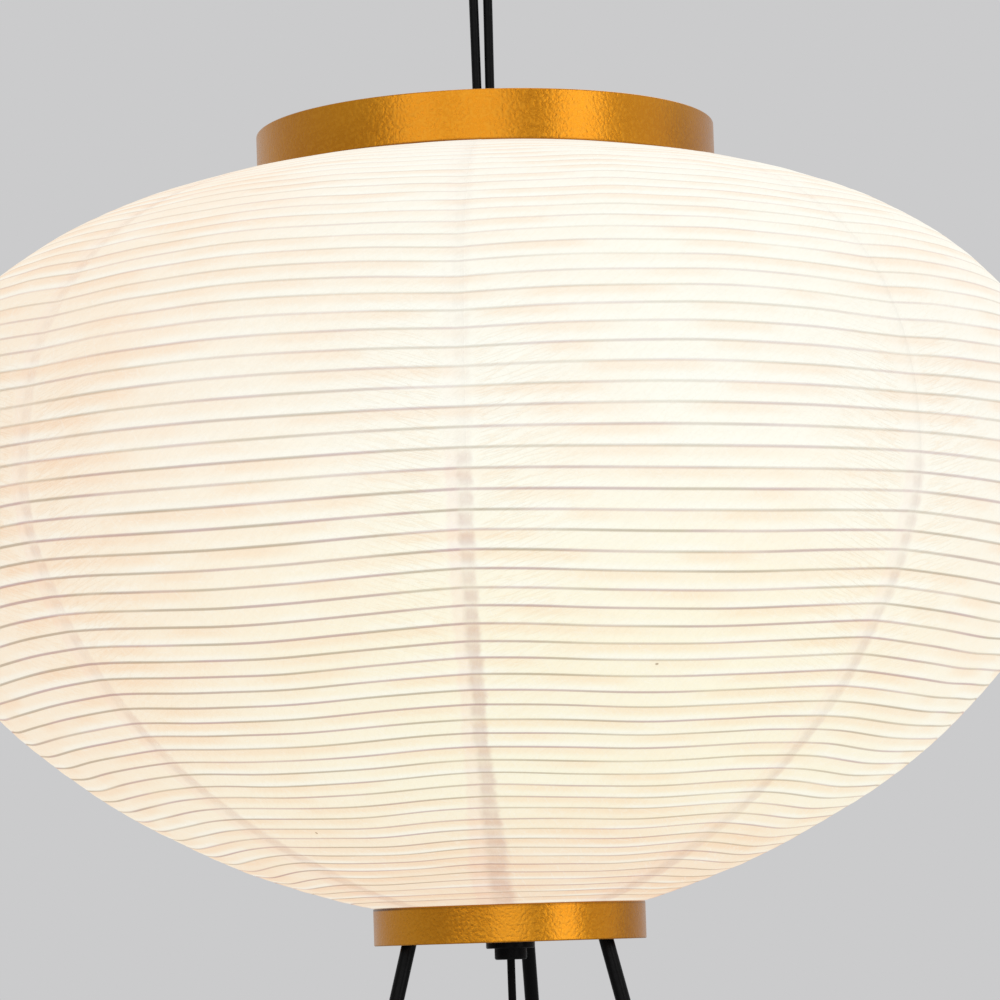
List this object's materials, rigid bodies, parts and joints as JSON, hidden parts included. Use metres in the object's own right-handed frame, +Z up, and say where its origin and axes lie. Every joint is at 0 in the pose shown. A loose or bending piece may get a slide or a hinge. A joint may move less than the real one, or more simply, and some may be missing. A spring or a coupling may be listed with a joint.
{
  "type": "floor lamp",
  "caption": "Floor lamp with a wide ribbed paper lantern between two gold bands, on three slim black legs with a corded foot switch.",
  "frame": {"origin": "on the floor, on the upright axis of the lantern and its two rings", "axes": "+Z up along the lantern's axis, the picture looks along +Y, +X to its right"},
  "size_m": [0.655, 0.655, 1.3919],
  "materials": {
    "gold_paint": "satin, fine grained",
    "washi": "matt, long fibres",
    "rib_wire": "satin",
    "black_enamel": "gloss",
    "black_plastic": "satin",
    "zinc_steel": "satin",
    "foot_rubber": "matt",
    "ceramic_white": "satin",
    "brass": "satin",
    "nickel": "bright",
    "bulb_white": "satin",
    "opal_globe": "opal",
    "cord_sheath": "matt",
    "tie_strap": "matt",
    "button_grey": "gloss"
  },
  "bodies": {
    "lamp": {"top_ring": "gold_paint", "bottom_ring": "gold_paint", "paper_gore_1": "washi", "paper_gore_2": "washi", "paper_gore_3": "washi", "paper_gore_4": "washi", "paper_gore_5": "washi", "paper_gore_6": "washi", "paper_gore_7": "washi", "paper_gore_8": "washi", "rib_hoops": "rib_wire", "lower_end_hoop": "rib_wire", "upper_end_hoop": "rib_wire", "stretcher_rod": "black_enamel", "leg_left": "black_enamel", "leg_right": "black_enamel", "leg_back": "black_enamel", "base_spider": "black_enamel", "hub_flange": "black_enamel", "crown_spider": "black_enamel", "crown_stop": "black_enamel", "leg_sockets": "black_enamel", "cord_grip": "black_plastic", "holder_cap": "black_plastic", "holder_sleeve": "black_plastic", "switch_base": "black_plastic", "switch_cover": "black_plastic", "plug_body": "black_plastic", "riser_tube": "zinc_steel", "riser_nut": "zinc_steel", "riser_washer": "zinc_steel", "leg_nuts": "zinc_steel", "stretcher_ferrules": "zinc_steel", "stop_screw": "zinc_steel", "switch_screws": "zinc_steel", "switch_spring": "zinc_steel", "foot_left": "foot_rubber", "foot_right": "foot_rubber", "foot_back": "foot_rubber", "holder_insert": "ceramic_white", "screw_shell": "brass", "centre_contact": "brass", "switch_contacts": "brass", "bulb_cap": "nickel", "bulb_tip": "nickel", "plug_pins": "nickel", "bulb_neck": "bulb_white", "led_board": "bulb_white", "bulb_globe": "opal_globe", "inner_flex": "cord_sheath", "cord_upper": "cord_sheath", "cord_middle": "cord_sheath", "cord_tail": "cord_sheath", "cord_coil": "cord_sheath", "switch_reliefs": "cord_sheath", "plug_relief": "cord_sheath", "coil_tie": "tie_strap"},
    "foot_button": {"switch_button": "button_grey"}
  },
  "joints": [
    {"name": "foot_button_press", "type": "slide", "parent": "lamp", "child": "foot_button", "axis": [0, 0, 1], "range_m": [-0.003, 0], "stiffness_N_per_m": 900, "springref_m": 0.002, "deforming": ["switch_spring"]}
  ]
}
